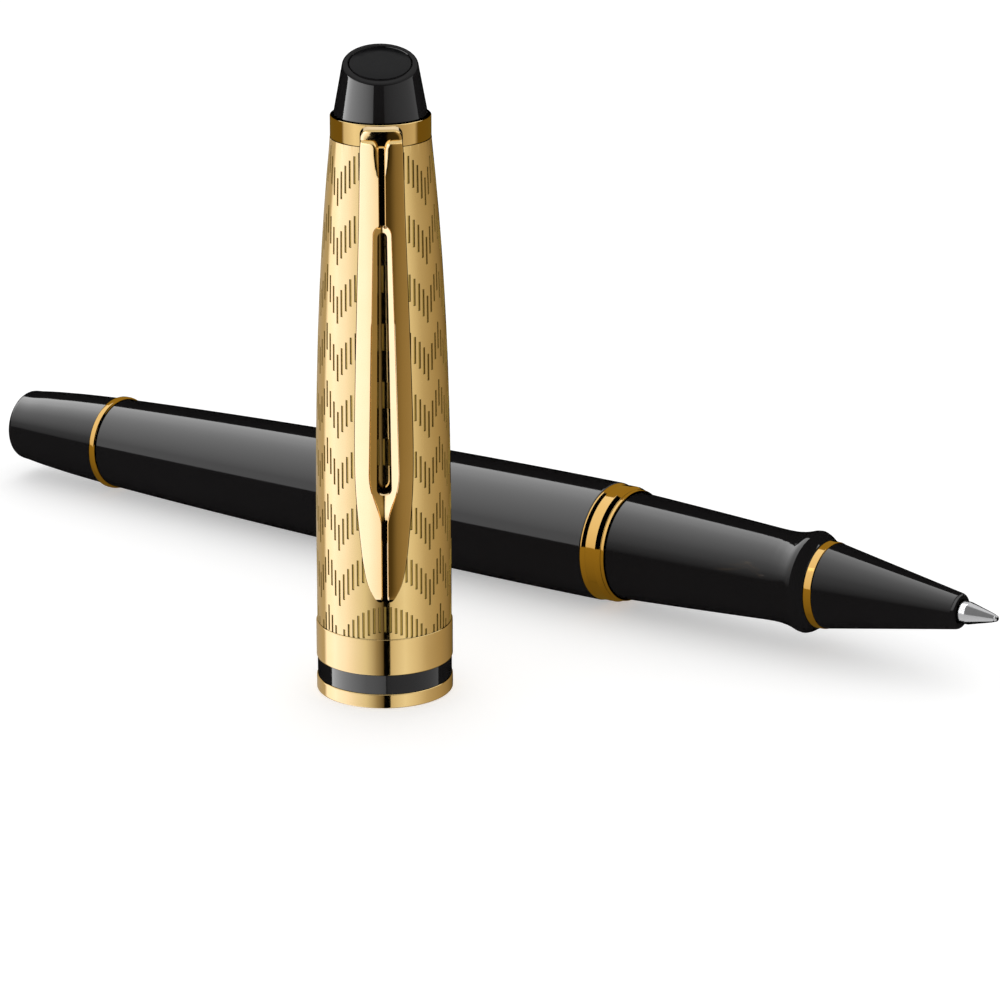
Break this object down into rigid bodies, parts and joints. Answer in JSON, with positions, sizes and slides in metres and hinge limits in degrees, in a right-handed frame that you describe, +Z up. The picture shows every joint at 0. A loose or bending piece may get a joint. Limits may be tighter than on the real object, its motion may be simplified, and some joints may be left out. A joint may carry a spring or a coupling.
{
  "type": "rollerball pen",
  "caption": "Lacquered rollerball pen lying beside its engraved gold cap, which stands upright and carries a sprung pocket clip.",
  "frame": {"origin": "centre of the cap's mouth, on the surface that cap and pen stand on", "axes": "+Z up, out of the top of the standing cap; +X the way the lying pen's writing tip points, seen from above; +Y away from the cap towards the pen"},
  "size_m": [0.1247, 0.0493, 0.0643],
  "materials": {
    "engraved_gold": "gold plated, engraved, polished",
    "polished_gold": "gold plated, mirror polished",
    "black_lacquer": "deep black, high gloss",
    "finial_inlay": "black, glossy",
    "liner_resin": "black moulded resin",
    "spring_steel": "drawn wire, bright",
    "brass_fitting": "turned brass",
    "refill_shell": "drawn tube",
    "refill_plastic": "moulded",
    "ink_fibre": "ink soaked fibre",
    "tip_steel": "polished"
  },
  "bodies": {
    "pen_barrel": {"barrel": "black_lacquer", "barrel_bush": "brass_fitting", "tail_ring": "polished_gold", "tail_cap": "black_lacquer", "refill_spring": "spring_steel"},
    "cap": {"cap_sleeve": "engraved_gold", "cap_band": "polished_gold", "lacquer_band": "black_lacquer", "lip_ring": "polished_gold", "inner_cap": "liner_resin", "snap_ring": "spring_steel", "clip_ring": "polished_gold", "finial": "black_lacquer", "finial_disc": "finial_inlay", "finial_screw": "spring_steel"},
    "pocket_clip": {"clip": "polished_gold"},
    "refill": {"refill_tube": "refill_shell", "refill_end_plug": "refill_plastic", "ink_wick": "ink_fibre", "tip_holder": "refill_plastic", "refill_tip": "tip_steel", "ink_feed": "ink_fibre"},
    "section": {"centre_ring": "polished_gold", "thread_sleeve": "brass_fitting", "grip": "black_lacquer", "front_ring": "polished_gold", "nose_cone": "black_lacquer"},
    "ball": {"writing_ball": "tip_steel"}
  },
  "joints": [
    {"name": "cap_slide", "type": "slide", "parent": "pen_barrel", "child": "cap", "axis": [0, 0, 1], "range_m": [0, 0.045]},
    {"name": "clip_flex", "type": "hinge", "parent": "cap", "child": "pocket_clip", "pos_m": [0.00335, -0.00449, 0.0576], "axis": [-0.8018, -0.5976, 0], "range_deg": [0, 4], "stiffness_Nm_per_rad": 0.9, "springref_deg": -1.15},
    {"name": "refill_advance", "type": "slide", "parent": "pen_barrel", "child": "refill", "axis": [0.9999, 0, 0.0141], "range_m": [0, 0.006], "deforming": ["refill_spring"]},
    {"name": "section_unscrew", "type": "hinge", "parent": "refill", "child": "section", "pos_m": [0.01819, 0.0342, 0.00665], "axis": [0.9999, 0, 0.0141], "range_deg": [0, 2161]},
    {"name": "ball_roll", "type": "hinge", "parent": "refill", "child": "ball", "pos_m": [0.04979, 0.0342, 0.00709], "axis": [0, 1, 0], "continuous": true}
  ],
  "couplings": [
    {"joint": "section_unscrew", "follows": "refill_advance", "rad_per_m": 6283.2}
  ]
}
